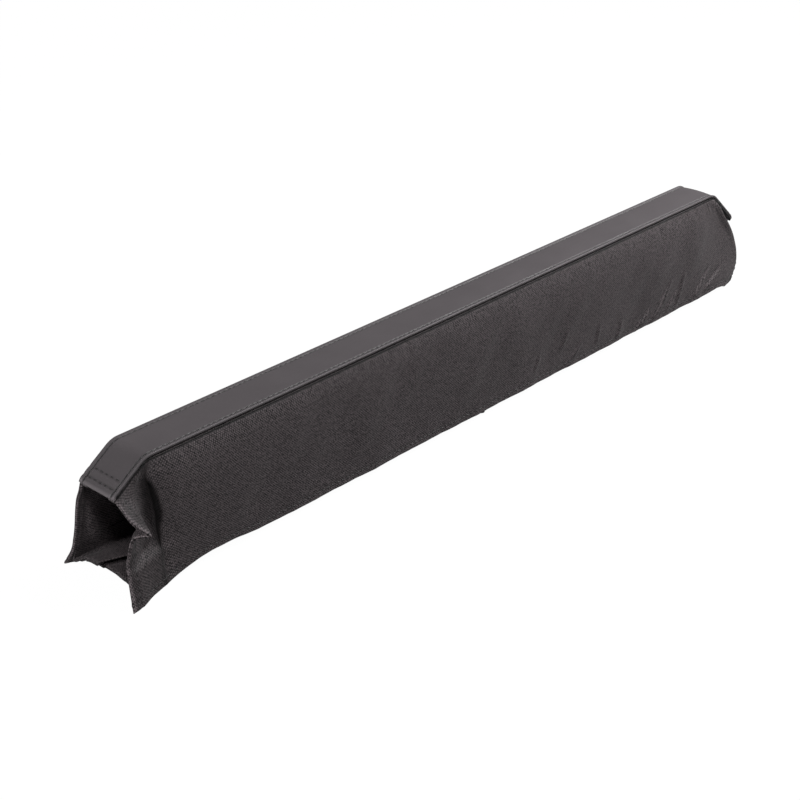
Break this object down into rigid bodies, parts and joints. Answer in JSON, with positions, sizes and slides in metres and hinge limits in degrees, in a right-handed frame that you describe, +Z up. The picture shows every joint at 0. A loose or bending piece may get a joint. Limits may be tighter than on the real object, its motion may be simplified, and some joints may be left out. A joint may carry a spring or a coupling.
{
  "type": "roof rack pad",
  "caption": "Long fabric sleeve with a foam core and a flat coated top, closed under a crossbar by overlapping flaps, to cushion a load carried on a roof rack.",
  "frame": {"origin": "under the middle of the pad, on the plane its lowest corners stand on", "axes": "+X along the pad, +Z up through the padded top, Y across the bar"},
  "size_m": [0.5152, 0.06, 0.0671],
  "materials": {
    "coated_fabric": "smooth polymer-coated cloth, low sheen",
    "woven_fabric": "plain woven polyester, matte",
    "lining_fabric": "plain woven polyester, matte",
    "foam": "closed-cell foam, matte",
    "closure_tape": "hook and loop pile, matte"
  },
  "bodies": {
    "root": {"top_strip": "coated_fabric", "near_side_panel": "woven_fabric", "far_side_panel": "woven_fabric", "foam_core": "foam", "foam_lining": "lining_fabric", "outer_flap_near_length": "woven_fabric", "outer_flap_far_length": "woven_fabric", "inner_flap_near_length": "woven_fabric", "inner_flap_far_length": "woven_fabric", "hook_tape_near_length": "closure_tape", "loop_tape_near_length": "closure_tape", "hook_tape_far_length": "closure_tape", "loop_tape_far_length": "closure_tape"}
  },
  "joints": []
}
